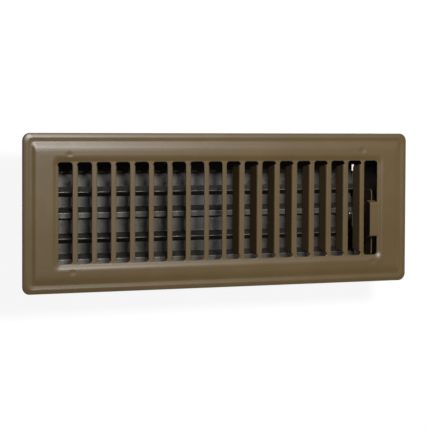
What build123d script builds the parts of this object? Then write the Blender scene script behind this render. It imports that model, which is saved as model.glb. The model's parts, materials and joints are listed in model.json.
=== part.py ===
from build123d import *
import math
import os

# Floor register: a stamped faceplate over a damper box with two linked vanes.
# X runs along the register, Y across it and Z up out of the face. The origin is under the
# middle of the face, level with the bottom edges of the box's end walls.

# Driving dimensions, in millimetres and degrees
FACE_LENGTH = 393.7
FACE_WIDTH = 139.7
FACE_CORNER = 7.0
SHEET = 0.8
BOX_DEPTH = 54.0            # bottom of the end walls up to the floor under the rim

# Frame of the faceplate: distance in from the ends, in from the long sides, height above the floor.
# The first list climbs from the rim over a hollow land and a soft step to the plateau.
PLATEAU = 2.9
RIM_STEPS = (
    (0.0, 0.0, 0.0), (0.3, 0.3, 0.7), (0.9, 0.9, 1.15), (2.2, 2.2, 1.5), (3.6, 3.6, 1.82),
    (4.2, 4.2, 1.86), (4.8, 4.8, 1.78), (7.4, 7.4, 1.5), (8.4, 8.6, 1.65), (9.6, 10.2, 2.05),
    (10.6, 11.8, 2.42), (11.4, 13.6, 2.68), (12.4, 15.8, 2.83), (14.0, 19.0, PLATEAU),
)
# The second one goes from the plateau down to the sheet between the slots.
DISH_STEPS = (
    (27.0, 19.4, PLATEAU), (28.2, 20.8, 2.8), (29.2, 22.2, 2.5),
    (30.0, 23.4, 2.1), (30.6, 24.3, 1.75), (31.2, 25.0, 1.6),
)
RIM_WALL = 0.7              # sheet thickness measured sideways through the steep rim
CORNER_SHRINK = 0.45        # how fast the corners tighten towards the plateau
INNER_CORNER = 2.0
DISH_CORNER = 5.0

# Slots and deflector fins
SLOT_COUNT = 18
SLOT_PITCH = 18.48
PLAIN_EDGE = 7.0            # from a slot's place on the pitch to its edge without a fin
SLOT_OPENING = 13.0         # from that edge to the fin's face
LEVER_OPENING = 14.6        # width of the last slot, which has no fin
LEVER_SHIFT = -0.5          # its middle from its place on the pitch
SLOT_LENGTH = 88.7
SLOT_CORNER = 2.8
LEFT_FINS = 9               # fins that hang from the left edge of their slot
RIGHT_FINS = 8              # fins that hang from the right edge; the last slot is the lever's
FIN_LEAN = 12.0
FIN_LEG = 8.6
FIN_END_TAPER = 3.0
FIN_TIP_CORNER = 2.5
BEND_MIDDLE = 1.0           # bend radius at the middle of the sheet

# Spot welds that hold the box, seen as shallow dimples in the plateau
WELDS = ((-153.7, 51.0), (-150.7, -51.8), (146.5, 55.5), (158.6, -49.7))
DIMPLE_DEPTH = 0.22
DIMPLE_RADIUS = 4.0

# Damper box
WALL_Y = 49.2               # middle of the long walls' sheet
WALL_END_X = 167.6
END_X = 169.0               # middle of the end walls' sheet
FLANGE = 7.6
LIP_EDGE_Y = 34.2           # free edge of the upper wall's stop lip
LOWER_WALL_DROP = 38.0      # lower wall's bottom edge below the floor plane
LIP_NOTCH_X = 158.5
LIP_NOTCH_WIDTH = 2.8
LIP_NOTCH_DEPTH = 5.8
APRON_UPPER_Y = 29.0        # where an end wall's bottom edge starts to rise
APRON_LOWER_Y = -44.0
APRON_UPPER_RISE = 22.0
APRON_LOWER_RISE = 8.0
TAB_X = 161.6
TAB_TOP = 50.0
WALL_BEND = 1.2

# Vanes
VANE_SHEET = 0.8
VANE_PITCH = 41.5
UPPER_PIVOT_Y = 14.25
PIVOT_Z = 23.0
PIVOT_STANDOFF = 6.4        # pivot axis in front of the blade's flat
VANE_TOP = 21.4
VANE_BOTTOM = -20.5
RIB = 4.2
VANE_BEND = 0.6
VANE_LEFT_X = -167.8
VANE_RIGHT_X = 160.6
VANE_NOTCH_WIDTH = 3.4      # corner cut out of the blade beside its right ear
VANE_NOTCH_DEPTH = 1.6

# Section of a vane: distance across the blade from its pivot, height over the blade's flat
VANE_STEPS = (
    (VANE_TOP, 0.0), (7.6, 0.0), (2.4, RIB), (-1.2, 0.0),
    (-10.6, 0.0), (-15.9, RIB), (VANE_BOTTOM, RIB),
)

# Pivots, cranks and link bar
PIVOT_RADIUS = 2.0
PIVOT_COLLAR = 3.2
PIVOT_HEAD = 2.6
EAR_RADIUS = 5.0
CRANK = 15.0
CRANK_ANGLE = 45.0
LINK_PIN_RADIUS = 1.6
LINK_HEAD = 3.0
RUNNING_CLEARANCE = 0.05
SEAT_CLEARANCE = 0.02
SIDE_PLAY = 0.3
HEAD_HEIGHT = 1.2
HEAD_CROWN = 0.6            # flat top of a rivet head, as part of its radius
LINK_SHEET = 1.0
LINK_X = 161.8              # middle of the link bar's sheet
LINK_LOW_END = 8.0          # bar beyond the lower pin
LINK_HIGH_END = 13.5        # bar beyond the upper pin
LINK_MARGIN = 4.5           # bar below the pins
LINK_TOP_Z = 49.5
LINK_CORNER = 4.0

# Thumb tab at the top of the link bar
TAB_LOW_Y = -26.4
TAB_HIGH_Y = 5.2
TAB_FREE_X = 152.0
TAB_TOP_Z = 62.2
TAB_LIP = 6.8
TAB_FLARE = 1.8             # how far the lips' free edges stand out
TAB_BEND = 1.4
TAB_FOLD = 0.8              # bend radius where the lips fold down

FLOOR_Z = BOX_DEPTH
FIELD_Z = FLOOR_Z + DISH_STEPS[-1][2]
UNDER_Z = FIELD_Z - SHEET
BEND_OUTER = BEND_MIDDLE + SHEET / 2
BLADE_Z = PIVOT_Z - PIVOT_STANDOFF
LOWER_PIVOT_Y = UPPER_PIVOT_Y - VANE_PITCH
CRANK_Y = -CRANK * math.sin(math.radians(CRANK_ANGLE))
CRANK_Z = CRANK * math.cos(math.radians(CRANK_ANGLE))


def folded(points, bend, thickness):
    """Cross-section of a folded strip whose middle runs through the points."""
    return trace(FilletPolyline(*points, radius=bend), line_width=thickness)


def along_x(section, start, end):
    """Extrude a section drawn in Y and Z from one X to another."""
    return extrude(Plane.YZ.offset(start) * section, end - start, dir=(1, 0, 0))


def along_y(section, low, high):
    """Extrude a section drawn in X and Z from one Y to another."""
    return extrude(Plane.XZ.offset(-low) * section, high - low, dir=(0, 1, 0))


def frame_section(end_inset, side_inset, height, corner):
    """Rounded outline of the face at one step of its frame."""
    outline = RectangleRounded(FACE_LENGTH - 2 * end_inset, FACE_WIDTH - 2 * side_inset, corner)
    return Pos(0, 0, FLOOR_Z + height) * outline


def stepped_form(extra):
    """Solid under the face: rim, land, step and plateau, less the dish round the slots."""
    rise = []
    for end_inset, side_inset, height in RIM_STEPS:
        corner = max(FACE_CORNER - CORNER_SHRINK * (side_inset + extra), INNER_CORNER)
        rise.append(frame_section(end_inset + extra, side_inset + extra, height, corner))
    sink = [frame_section(*step, DISH_CORNER) for step in DISH_STEPS]
    return loft(rise, ruled=True) - loft(sink[::-1], ruled=True)


def frame_top(y):
    """Z of the frame's upper side beside a long side of the face."""
    inset = FACE_WIDTH / 2 - abs(y)
    steps = RIM_STEPS + DISH_STEPS
    for (_, outer, before), (_, inner, after) in zip(steps, steps[1:]):
        if outer <= inset < inner:
            return FLOOR_Z + before + (after - before) * (inset - outer) / (inner - outer)
    return FIELD_Z


def weld_dimple(x, y):
    """Ball that presses a shallow dimple into the plateau."""
    ball = (DIMPLE_RADIUS ** 2 + DIMPLE_DEPTH ** 2) / (2 * DIMPLE_DEPTH)
    return Pos(x, y, frame_top(y) + ball - DIMPLE_DEPTH) * Sphere(ball)


def slot_centre(index):
    return (index - (SLOT_COUNT - 1) / 2) * SLOT_PITCH


def fin_side(index):
    """Edge of the slot that keeps the fin: -1 left, 1 right, 0 none."""
    if index < LEFT_FINS:
        return -1
    return 1 if index < LEFT_FINS + RIGHT_FINS else 0


def slot_cutter(index):
    """Slot through the sheet, wider by the bend on the fin's side."""
    side = fin_side(index)
    width = SLOT_OPENING + BEND_OUTER if side else LEVER_OPENING
    shift = side * (width / 2 - PLAIN_EDGE) if side else LEVER_SHIFT
    middle = slot_centre(index) + shift
    outline = Pos(middle, 0) * RectangleRounded(width, SLOT_LENGTH, SLOT_CORNER)
    return extrude(Pos(0, 0, UNDER_Z - SHEET) * outline, 3 * SHEET, dir=(0, 0, 1))


def left_fin():
    """Fin that bends down from a slot edge at X = 0 and leans towards +X."""
    lean = math.radians(FIN_LEAN)
    turn = math.radians(90 - FIN_LEAN)
    tangent = BEND_MIDDLE * math.tan(turn / 2)
    reach = tangent + FIN_LEG
    middle = FIELD_Z - SHEET / 2
    tip = (tangent + reach * math.sin(lean), middle - reach * math.cos(lean))
    root_half = SLOT_LENGTH / 2 - SLOT_CORNER
    section = folded(((-SHEET, middle), (tangent, middle), tip), BEND_MIDDLE, SHEET)
    sheet = along_y(section, -root_half, root_half)
    top = FIELD_Z + SHEET
    low = tip[1] - SHEET
    tip_half = root_half - FIN_END_TAPER
    blank = Polygon((-root_half, top), (root_half, top), (tip_half, low), (-tip_half, low), align=None)
    tips = blank.vertices().group_by(Axis.Y)[0]
    outline = along_x(fillet(tips, FIN_TIP_CORNER), -SHEET, 2 * BEND_OUTER + FIN_LEG)
    return sheet & outline


def faceplate():
    """Stamped face with its frame, slots, fins and weld dimples."""
    plate = stepped_form(0.0) - Pos(0, 0, -SHEET) * stepped_form(RIM_WALL)
    plate -= [slot_cutter(index) for index in range(SLOT_COUNT)]
    fins = {-1: left_fin(), 1: mirror(left_fin(), about=Plane.YZ)}
    edge = SLOT_OPENING - PLAIN_EDGE + BEND_OUTER
    for index in range(LEFT_FINS + RIGHT_FINS):
        side = fin_side(index)
        plate += Pos(slot_centre(index) + side * edge, 0, 0) * fins[side]
    return plate - [weld_dimple(x, y) for x, y in WELDS]


def flange_middle():
    """Z of the middle of the box's flanges, which lie under the lowest part of the frame over them."""
    return frame_top(WALL_Y + FLANGE + RIM_WALL) - 1.5 * SHEET - SEAT_CLEARANCE


def upper_side_wall():
    """Long wall with a flange under the face and a stop lip for the upper vane."""
    lip_z = BLADE_Z + RIB
    flange_z = flange_middle()
    points = ((WALL_Y + FLANGE, flange_z), (WALL_Y, flange_z), (WALL_Y, lip_z), (LIP_EDGE_Y, lip_z))
    wall = along_x(folded(points, WALL_BEND, SHEET), -WALL_END_X, WALL_END_X)
    notch = Box(LIP_NOTCH_WIDTH, 2 * LIP_NOTCH_DEPTH, 4 * SHEET)
    return wall - Pos(LIP_NOTCH_X, LIP_EDGE_Y, lip_z) * notch


def lower_side_wall():
    """Long wall with a flange under the face, standing beside the lower vane's edge."""
    flange_z = flange_middle()
    points = ((-WALL_Y - FLANGE, flange_z), (-WALL_Y, flange_z), (-WALL_Y, FLOOR_Z - LOWER_WALL_DROP))
    return along_x(folded(points, WALL_BEND, SHEET), -WALL_END_X, WALL_END_X)


def right_end_wall():
    """End wall: a channel whose tabs lie on the long walls, with a flange and two pivot holes."""
    tab_y = WALL_Y + SHEET
    channel = folded(((TAB_X, -tab_y), (END_X, -tab_y), (END_X, tab_y), (TAB_X, tab_y)), WALL_BEND, SHEET)
    tabs = extrude(channel, TAB_TOP, dir=(0, 0, 1))
    flange_z = flange_middle()
    points = ((END_X, TAB_TOP - SHEET), (END_X, flange_z), (END_X + FLANGE, flange_z))
    section = folded(points, WALL_BEND, SHEET)
    half = WALL_Y - SHEET
    wall = tabs + along_y(section, -half, half)
    reach = tab_y + SHEET
    upper = Polygon((APRON_UPPER_Y, 0), (reach, 0), (reach, APRON_UPPER_RISE), align=None)
    lower = Polygon((APRON_LOWER_Y, 0), (-reach, 0), (-reach, APRON_LOWER_RISE), align=None)
    wall -= [along_x(corner, TAB_X - SHEET, END_X + SHEET) for corner in (upper, lower)]
    for y in (UPPER_PIVOT_Y, LOWER_PIVOT_Y):
        hole = Circle(PIVOT_RADIUS + SEAT_CLEARANCE)
        wall -= along_x(Pos(y, PIVOT_Z) * hole, END_X - SHEET, END_X + SHEET)
    return wall


def ear_outline(with_crank):
    """Ear seen along X, from the blade up to the pivot and, on the right, out to the crank pin."""
    foot = Pos(-EAR_RADIUS, -PIVOT_STANDOFF) * Rectangle(2 * EAR_RADIUS, VANE_SHEET)
    rounds = [Circle(EAR_RADIUS)]
    if with_crank:
        rounds.append(Pos(CRANK_Y, CRANK_Z) * Circle(EAR_RADIUS))
    ear = make_hull(foot.edges() + [edge for disc in rounds for edge in disc.edges()])
    ear -= Circle(PIVOT_RADIUS + RUNNING_CLEARANCE)
    if with_crank:
        ear -= Pos(CRANK_Y, CRANK_Z) * Circle(LINK_PIN_RADIUS + SEAT_CLEARANCE)
    return ear


def vane(pivot_y):
    """Ribbed blade with an ear folded up at each end, closed as in the box."""
    profile = [(across, height - PIVOT_STANDOFF) for across, height in VANE_STEPS]
    blade = along_x(folded(profile, VANE_BEND, VANE_SHEET), VANE_LEFT_X, VANE_RIGHT_X)
    notch = Box(2 * VANE_NOTCH_WIDTH, 2 * VANE_NOTCH_DEPTH, 4 * VANE_SHEET)
    blade -= Pos(VANE_RIGHT_X, VANE_TOP, -PIVOT_STANDOFF) * notch
    left = along_x(ear_outline(False), VANE_LEFT_X, VANE_LEFT_X + VANE_SHEET)
    right = along_x(ear_outline(True), VANE_RIGHT_X - VANE_SHEET, VANE_RIGHT_X)
    return Pos(0, pivot_y, PIVOT_Z) * (blade + left + right)


def turned(steps):
    """Round piece about the X axis from its outline: positions along X and radii."""
    outline = [(steps[0][0], 0), *steps, (steps[-1][0], 0)]
    return revolve(make_face(Polyline(*outline, close=True)), Axis.X)


def pivot_rivet(ear_inner, ear_outer, wall_inner):
    """Shouldered rivet: head inside the ear, collar between ear and wall, head outside the wall."""
    head_in = ear_inner - SIDE_PLAY
    head_out = wall_inner + SHEET
    return turned((
        (head_in - HEAD_HEIGHT, PIVOT_HEAD * HEAD_CROWN),
        (head_in - HEAD_HEIGHT / 2, PIVOT_HEAD),
        (head_in, PIVOT_HEAD),
        (head_in, PIVOT_RADIUS),
        (ear_outer + SIDE_PLAY, PIVOT_RADIUS),
        (ear_outer + SIDE_PLAY, PIVOT_COLLAR),
        (wall_inner, PIVOT_COLLAR),
        (wall_inner, PIVOT_RADIUS),
        (head_out, PIVOT_RADIUS),
        (head_out, PIVOT_HEAD),
        (head_out + HEAD_HEIGHT / 2, PIVOT_HEAD),
        (head_out + HEAD_HEIGHT, PIVOT_HEAD * HEAD_CROWN),
    ))


def pivot_rivets():
    """The four rivets that carry the two vanes."""
    wall_inner = END_X - SHEET / 2
    right = pivot_rivet(VANE_RIGHT_X - VANE_SHEET, VANE_RIGHT_X, wall_inner)
    left = mirror(pivot_rivet(-VANE_LEFT_X - VANE_SHEET, -VANE_LEFT_X, wall_inner), about=Plane.YZ)
    places = [Pos(0, y, PIVOT_Z) for y in (UPPER_PIVOT_Y, LOWER_PIVOT_Y)]
    return Compound(children=[place * rivet for place in places for rivet in (left, right)])


def link_rivet(pivot_y):
    """Rivet held in a vane's ear, on which the link bar turns."""
    ear_inner = VANE_RIGHT_X - VANE_SHEET
    link_outer = LINK_X + LINK_SHEET / 2 + SIDE_PLAY
    rivet = turned((
        (ear_inner - HEAD_HEIGHT, LINK_HEAD * HEAD_CROWN),
        (ear_inner - HEAD_HEIGHT / 2, LINK_HEAD),
        (ear_inner, LINK_HEAD),
        (ear_inner, LINK_PIN_RADIUS),
        (link_outer, LINK_PIN_RADIUS),
        (link_outer, LINK_HEAD),
        (link_outer + HEAD_HEIGHT / 2, LINK_HEAD),
        (link_outer + HEAD_HEIGHT, LINK_HEAD * HEAD_CROWN),
    ))
    return Pos(0, pivot_y + CRANK_Y, PIVOT_Z + CRANK_Z) * rivet


def link_bar():
    """Bar across both cranks, with a tongue up through the last slot and a thumb tab on it."""
    pin_z = PIVOT_Z + CRANK_Z
    upper_y = UPPER_PIVOT_Y + CRANK_Y
    lower_y = LOWER_PIVOT_Y + CRANK_Y
    low_z = pin_z - LINK_MARGIN
    low_y = lower_y - LINK_LOW_END
    high_y = upper_y + LINK_HIGH_END
    blank = RectangleRounded(high_y - low_y, LINK_TOP_Z - low_z, LINK_CORNER)
    bar = Pos((high_y + low_y) / 2, (LINK_TOP_Z + low_z) / 2) * blank
    for y in (upper_y, lower_y):
        bar -= Pos(y, pin_z) * Circle(LINK_PIN_RADIUS + RUNNING_CLEARANCE)
    plate = along_x(bar, LINK_X - LINK_SHEET / 2, LINK_X + LINK_SHEET / 2)
    web_z = TAB_TOP_Z - LINK_SHEET / 2
    points = ((LINK_X, LINK_TOP_Z - LINK_CORNER), (LINK_X, web_z), (TAB_FREE_X, web_z))
    fold = TAB_FOLD + LINK_SHEET / 2
    tongue = along_y(folded(points, TAB_BEND, LINK_SHEET), TAB_LOW_Y + fold, TAB_HIGH_Y - fold)
    low = TAB_LOW_Y + LINK_SHEET / 2
    high = TAB_HIGH_Y - LINK_SHEET / 2
    lip_z = TAB_TOP_Z - TAB_LIP
    corners = ((low - TAB_FLARE, lip_z), (low, web_z), (high, web_z), (high + TAB_FLARE, lip_z))
    cap = folded(corners, TAB_FOLD, LINK_SHEET)
    return plate + tongue + along_x(cap, TAB_FREE_X, LINK_X - TAB_BEND)


PARTS = {
    "faceplate": faceplate(),
    "upper_side_wall": upper_side_wall(),
    "lower_side_wall": lower_side_wall(),
    "left_end_wall": mirror(right_end_wall(), about=Plane.YZ),
    "right_end_wall": right_end_wall(),
    "upper_vane": vane(UPPER_PIVOT_Y),
    "lower_vane": vane(LOWER_PIVOT_Y),
    "pivot_rivets": pivot_rivets(),
    "link_bar": link_bar(),
    "upper_link_rivet": link_rivet(UPPER_PIVOT_Y),
    "lower_link_rivet": link_rivet(LOWER_PIVOT_Y),
}

os.makedirs("parts", exist_ok=True)
for node, shape in PARTS.items():
    export_step(shape, f"parts/{node}.step")
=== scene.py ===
import json
import math

import bpy
from mathutils import Matrix, Vector

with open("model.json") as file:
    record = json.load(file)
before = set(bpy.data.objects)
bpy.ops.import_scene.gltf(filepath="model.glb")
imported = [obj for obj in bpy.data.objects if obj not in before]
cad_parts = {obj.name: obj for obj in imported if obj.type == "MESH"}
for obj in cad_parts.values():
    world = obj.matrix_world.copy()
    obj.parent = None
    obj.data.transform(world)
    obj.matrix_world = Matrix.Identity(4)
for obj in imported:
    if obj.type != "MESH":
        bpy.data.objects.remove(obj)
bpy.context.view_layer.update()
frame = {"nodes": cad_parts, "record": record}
NODES = frame["nodes"]

# Photograph's viewing angle: a long lens, from the left of the register and a little above its middle
IMAGE_SIZE = 428
FOCAL_PIXELS = 1962.5
SENSOR_MM = 36.0
YAW = 0.490863
PITCH = 0.045219
ROLL = 0.0041745
TARGET = Vector((-0.009837, -0.003171, 0.054))
DISTANCE = 1.7744
CLIP_END = 20.0

# Floor, in metres. Its painted shade under the box, where the floor's white glow is left out, fades out between
# two distances from the middle.
FLOOR_REACH = 4.5
BACKDROP_HEIGHT = 1.0
BACKDROP_SIDES = 64
PAINTED_SHADE_X = (0.160, 0.170)
PAINTED_SHADE_Y = (0.046, 0.068)
FLOOR_GLOW = 0.91

# One softbox almost overhead, which leaves the slopes of the vanes dark
FACE_MIDDLE = Vector((0.0, 0.0, 0.054))
KEY_DIRECTION = (0.135, 0.37, 0.92)
KEY_DISTANCE = 1.5
KEY_SIZE = (0.42, 0.28)
KEY_LEVEL = 0.92
AMBIENT_LEVEL = 0.035

# Linear colours
WHITE = (1.0, 1.0, 1.0, 1.0)
ENAMEL_DARK = (0.144, 0.096, 0.040, 1.0)
ENAMEL_LIGHT = (0.158, 0.106, 0.045, 1.0)
ENAMEL_GRAIN = (0.110, 0.073, 0.031, 1.0)
ENAMEL_SPECK = (0.200, 0.142, 0.070, 1.0)
ENAMEL_WORN = (0.30, 0.25, 0.18, 1.0)
# Zinc greys are written darker than bare galvanised sheet: painted shade, standing in for the shade inside the
# damper box
ZINC_DARK = (0.123, 0.116, 0.105, 1.0)
ZINC_LIGHT = (0.149, 0.141, 0.129, 1.0)
ZINC_STREAK = (0.102, 0.096, 0.086, 1.0)
ZINC_CLOUD = (0.106, 0.098, 0.083, 1.0)
ZINC_EDGE = (0.14, 0.135, 0.13, 1.0)
RIVET_LIGHT = (0.50, 0.50, 0.49, 1.0)
RIVET_DARK = (0.38, 0.37, 0.355, 1.0)
RIVET_EDGE = (0.66, 0.66, 0.65, 1.0)
FLOOR_BOUNCE = (0.30, 0.30, 0.30, 1.0)
FLOOR_SEEN = (0.14, 0.14, 0.14, 1.0)

ENAMEL_IOR = 1.53
ENAMEL_EDGE_RADIUS = 0.0015
ZINC_EDGE_RADIUS = 0.00035
RIVET_EDGE_RADIUS = 0.0003
EDGE_FULL = 0.72     # cosine between the two normals at and below which a spot counts as edge
EDGE_NONE = 0.97     # cosine from which it doesn't
CRYSTAL_WARP = (0.004, 0.004, 0.004)
ROLLING_STRETCH = (18.0, 700.0, 700.0)


def view_axes():
    """Right, up and backward directions of the camera."""
    back = Vector((-math.sin(YAW) * math.cos(PITCH), math.sin(PITCH), math.cos(YAW) * math.cos(PITCH)))
    right = Vector((math.cos(YAW), 0.0, math.sin(YAW)))
    up = back.cross(right)
    rolled_right = math.cos(ROLL) * right + math.sin(ROLL) * up
    rolled_up = math.cos(ROLL) * up - math.sin(ROLL) * right
    return rolled_right, rolled_up, back


def place(obj, right, up, back, origin):
    """Stand an object so that its own X, Y and Z lie along three directions."""
    turn = Matrix((right, up, back)).transposed().to_4x4()
    obj.matrix_world = Matrix.Translation(origin) @ turn


def link(obj):
    bpy.context.scene.collection.objects.link(obj)
    return obj


class Nodes:
    """Short way to build one material's node tree."""

    def __init__(self, name):
        self.material = bpy.data.materials.new(name)
        self.material.use_nodes = True
        self.tree = self.material.node_tree
        self.tree.nodes.clear()
        self.out = self.tree.nodes.new("ShaderNodeOutputMaterial")

    def set(self, node, socket, value):
        """Link another node's output to a socket, or set the socket to a plain value."""
        if isinstance(value, bpy.types.NodeSocket):
            self.tree.links.new(value, node.inputs[socket])
        else:
            node.inputs[socket].default_value = value

    def add(self, kind, sockets=None, **properties):
        node = self.tree.nodes.new(kind)
        for key, value in properties.items():
            setattr(node, key, value)
        for socket, value in (sockets or {}).items():
            self.set(node, socket, value)
        return node

    def object_position(self):
        return self.add("ShaderNodeTexCoord").outputs["Object"]

    def noise(self, where, scale, detail):
        return self.add("ShaderNodeTexNoise", {"Vector": where, "Scale": scale, "Detail": detail}).outputs

    def ramp(self, value, low, high, out_low=0.0, out_high=1.0):
        """Smooth step of a value into a new range."""
        sockets = {"Value": value, "From Min": low, "From Max": high, "To Min": out_low, "To Max": out_high}
        return self.add("ShaderNodeMapRange", sockets, interpolation_type="SMOOTHSTEP").outputs["Result"]

    def mix(self, factor, first, second):
        """Mix of two colours. The node's sockets share names, so they go by number."""
        return self.add("ShaderNodeMix", {0: factor, 6: first, 7: second}, data_type="RGBA").outputs[2]

    def math(self, operation, *values):
        return self.add("ShaderNodeMath", dict(enumerate(values)), operation=operation).outputs[0]

    def vector(self, operation, first, second):
        return self.add("ShaderNodeVectorMath", {0: first, 1: second}, operation=operation).outputs

    def bump(self, height, strength, distance, normal):
        sockets = {"Height": height, "Strength": strength, "Distance": distance, "Normal": normal}
        return self.add("ShaderNodeBump", sockets).outputs["Normal"]

    def edge_mask(self, radius):
        """How far a bent-round normal leaves the face's own, high along the sheet's edges, and that normal."""
        soft = self.add("ShaderNodeBevel", {"Radius": radius}, samples=4).outputs["Normal"]
        face = self.add("ShaderNodeNewGeometry").outputs["Normal"]
        same = self.vector("DOT_PRODUCT", soft, face)["Value"]
        return self.ramp(same, EDGE_NONE, EDGE_FULL), soft

    def finish(self, shader):
        self.tree.links.new(shader, self.out.inputs["Surface"])
        return self.material


def brown_enamel():
    """Satin baked enamel on steel: fine orange peel, slightly uneven colour, worn paler at the edges."""
    n = Nodes("brown_enamel")
    where = n.object_position()
    cloud = n.noise(where, 22.0, 3.0)["Fac"]
    grain = n.noise(where, 900.0, 2.0)["Fac"]
    peel = n.noise(where, 420.0, 1.5)["Fac"]
    speck = n.noise(where, 1700.0, 1.0)["Fac"]
    patches = n.noise(where, 160.0, 3.0)["Fac"]
    gloss = n.noise(where, 60.0, 4.0)["Fac"]
    edge, soft = n.edge_mask(ENAMEL_EDGE_RADIUS)
    worn = n.math("MULTIPLY", edge, n.ramp(patches, 0.42, 0.72))
    colour = n.mix(n.ramp(cloud, 0.3, 0.7), ENAMEL_DARK, ENAMEL_LIGHT)
    colour = n.mix(n.ramp(grain, 0.62, 0.8, 0.0, 0.25), colour, ENAMEL_GRAIN)
    colour = n.mix(n.ramp(speck, 0.70, 0.84, 0.0, 0.2), colour, ENAMEL_SPECK)
    colour = n.mix(n.math("MULTIPLY", worn, 0.35), colour, ENAMEL_WORN)
    normal = n.bump(peel, 0.05, 0.0006, soft)
    normal = n.bump(grain, 0.03, 0.0003, normal)
    shader = n.add("ShaderNodeBsdfPrincipled", {
        "Base Color": colour,
        "Roughness": n.ramp(gloss, 0.25, 0.75, 0.34, 0.38),
        "Normal": normal,
        "Metallic": 0.0,
        "IOR": ENAMEL_IOR,
    })
    return n.finish(shader.outputs["BSDF"])


def galvanised():
    """Galvanised sheet, its greys darkened as painted shade of the box's inside: crystal spangle of uneven greys,
    rolling lines, brown clouds and a plain cut edge.
    """
    n = Nodes("galvanised_sheet")
    where = n.object_position()
    warp = n.vector("MULTIPLY", n.noise(where, 90.0, 2.0)["Color"], CRYSTAL_WARP)["Vector"]
    warped = n.vector("ADD", where, warp)["Vector"]
    cells = n.add("ShaderNodeTexVoronoi", {"Vector": warped, "Scale": 150.0}).outputs["Color"]
    crystal = n.add("ShaderNodeSeparateColor", {"Color": cells}).outputs["Red"]
    stretched = n.add("ShaderNodeMapping", {"Vector": where, "Scale": ROLLING_STRETCH}).outputs["Vector"]
    rolled = n.noise(stretched, 1.0, 3.0)["Fac"]
    cloud = n.noise(where, 30.0, 4.0)["Fac"]
    edge, soft = n.edge_mask(ZINC_EDGE_RADIUS)
    # These greys carry painted shade of the box's inside as well as the spangle's own tones
    colour = n.mix(crystal, ZINC_DARK, ZINC_LIGHT)
    colour = n.mix(n.ramp(rolled, 0.35, 0.75, 0.0, 0.35), colour, ZINC_STREAK)
    colour = n.mix(n.ramp(cloud, 0.45, 0.8, 0.0, 0.3), colour, ZINC_CLOUD)
    colour = n.mix(n.math("MULTIPLY", edge, 0.3), colour, ZINC_EDGE)
    rough = n.math("ADD", n.math("MULTIPLY", crystal, 0.05), n.ramp(cloud, 0.3, 0.7, 0.385, 0.41))
    shader = n.add("ShaderNodeBsdfPrincipled", {
        "Base Color": colour,
        "Roughness": rough,
        "Normal": n.bump(rolled, 0.015, 0.0002, soft),
        "Metallic": 1.0,
    })
    return n.finish(shader.outputs["BSDF"])


def rivet_steel():
    """Zinc-plated rivets: uneven greys, small dents and bright edges."""
    n = Nodes("rivet_steel")
    where = n.object_position()
    dents = n.noise(where, 650.0, 3.0)["Fac"]
    cloud = n.noise(where, 180.0, 3.0)["Fac"]
    edge, soft = n.edge_mask(RIVET_EDGE_RADIUS)
    colour = n.mix(n.ramp(cloud, 0.35, 0.7), RIVET_LIGHT, RIVET_DARK)
    colour = n.mix(n.math("MULTIPLY", edge, 0.5), colour, RIVET_EDGE)
    shader = n.add("ShaderNodeBsdfPrincipled", {
        "Base Color": colour,
        "Roughness": n.ramp(dents, 0.3, 0.7, 0.28, 0.44),
        "Normal": n.bump(dents, 0.12, 0.0002, soft),
        "Metallic": 0.9,
    })
    return n.finish(shader.outputs["BSDF"])


def floor_material():
    """Pale floor that reads white to the camera and in reflections, with painted shade under the box where its
    white glow is masked off by position, and keeps the shadow.
    """
    n = Nodes("pale_floor")
    path = n.add("ShaderNodeLightPath").outputs
    seen = n.math("MAXIMUM", path["Is Camera Ray"], path["Is Glossy Ray"])
    seen = n.math("MAXIMUM", seen, path["Is Transmission Ray"])
    position = n.add("ShaderNodeNewGeometry").outputs["Position"]
    where = n.add("ShaderNodeSeparateXYZ", {"Vector": position}).outputs
    # Painted shade: the white glow fades to nothing under the box, set by position and not by any light
    beyond_x = n.ramp(n.math("ABSOLUTE", where["X"]), *PAINTED_SHADE_X)
    beyond_y = n.ramp(n.math("ABSOLUTE", where["Y"]), *PAINTED_SHADE_Y)
    glow = n.math("MULTIPLY", n.math("MAXIMUM", beyond_x, beyond_y), FLOOR_GLOW)
    bounce = n.add("ShaderNodeBsdfDiffuse", {"Color": FLOOR_BOUNCE}).outputs["BSDF"]
    shade = n.add("ShaderNodeBsdfDiffuse", {"Color": FLOOR_SEEN}).outputs["BSDF"]
    white = n.add("ShaderNodeEmission", {"Color": WHITE, "Strength": glow}).outputs["Emission"]
    lit = n.add("ShaderNodeAddShader", {0: shade, 1: white}).outputs["Shader"]
    return n.finish(n.add("ShaderNodeMixShader", {0: seen, 1: bounce, 2: lit}).outputs["Shader"])


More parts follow.
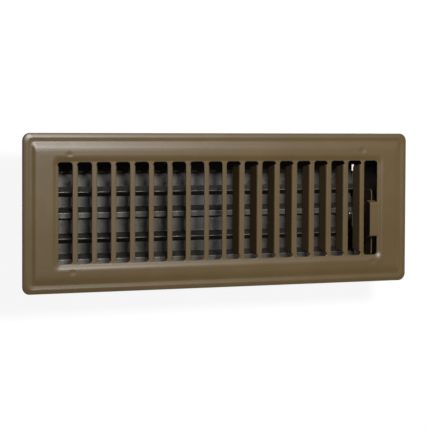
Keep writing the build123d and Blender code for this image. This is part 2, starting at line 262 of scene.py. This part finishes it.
def make_floor():
    """Round floor with a low wall all round it, in one piece."""
    mesh = bpy.data.meshes.new("floor")
    angles = [2 * math.pi * side / BACKDROP_SIDES for side in range(BACKDROP_SIDES)]
    ring = [(FLOOR_REACH * math.cos(angle), FLOOR_REACH * math.sin(angle)) for angle in angles]
    low = [(x, y, 0.0) for x, y in ring]
    high = [(x, y, BACKDROP_HEIGHT) for x, y in ring]
    faces = [tuple(range(BACKDROP_SIDES))]
    for side in range(BACKDROP_SIDES):
        after = (side + 1) % BACKDROP_SIDES
        faces.append((side, side + BACKDROP_SIDES, after + BACKDROP_SIDES, after))
    mesh.from_pydata(low + high, [], faces)
    mesh.materials.append(floor_material())
    floor = link(bpy.data.objects.new("floor", mesh))


def make_world():
    world = bpy.data.worlds.new("studio")
    world.use_nodes = True
    tree = world.node_tree
    tree.nodes.clear()
    ambient = tree.nodes.new("ShaderNodeBackground")
    ambient.inputs["Color"].default_value = WHITE
    ambient.inputs["Strength"].default_value = AMBIENT_LEVEL
    out = tree.nodes.new("ShaderNodeOutputWorld")
    tree.links.new(ambient.outputs[0], out.inputs["Surface"])
    bpy.context.scene.world = world


def make_lamp():
    """Softbox that faces the register. At level 1 it lights a surface square to it as brightly as white paper."""
    data = bpy.data.lights.new("key", "AREA")
    data.shape = "RECTANGLE"
    data.size, data.size_y = KEY_SIZE
    data.energy = KEY_LEVEL * (math.pi * KEY_DISTANCE) ** 2
    lamp = link(bpy.data.objects.new("key", data))
    away = Vector(KEY_DIRECTION).normalized()
    turn = away.to_track_quat("Z", "Y").to_matrix().to_4x4()
    lamp.matrix_world = Matrix.Translation(FACE_MIDDLE + KEY_DISTANCE * away) @ turn


def make_camera():
    right, up, back = view_axes()
    data = bpy.data.cameras.new("camera")
    data.sensor_fit = "HORIZONTAL"
    data.sensor_width = SENSOR_MM
    data.lens = FOCAL_PIXELS * SENSOR_MM / IMAGE_SIZE
    data.clip_end = CLIP_END
    camera = link(bpy.data.objects.new("camera", data))
    place(camera, right, up, back, TARGET + DISTANCE * back)
    bpy.context.scene.camera = camera


FINISHES = {"brown_paint": brown_enamel(), "zinc_sheet": galvanised(), "rivet_steel": rivet_steel()}
for piece in frame["record"]["subparts"]:
    node = NODES[piece["node"]]
    node.data.materials.clear()
    node.data.materials.append(FINISHES[piece["material_slot"]])

make_floor()
make_world()
make_lamp()
make_camera()
bpy.context.scene.view_settings.view_transform = "Standard"
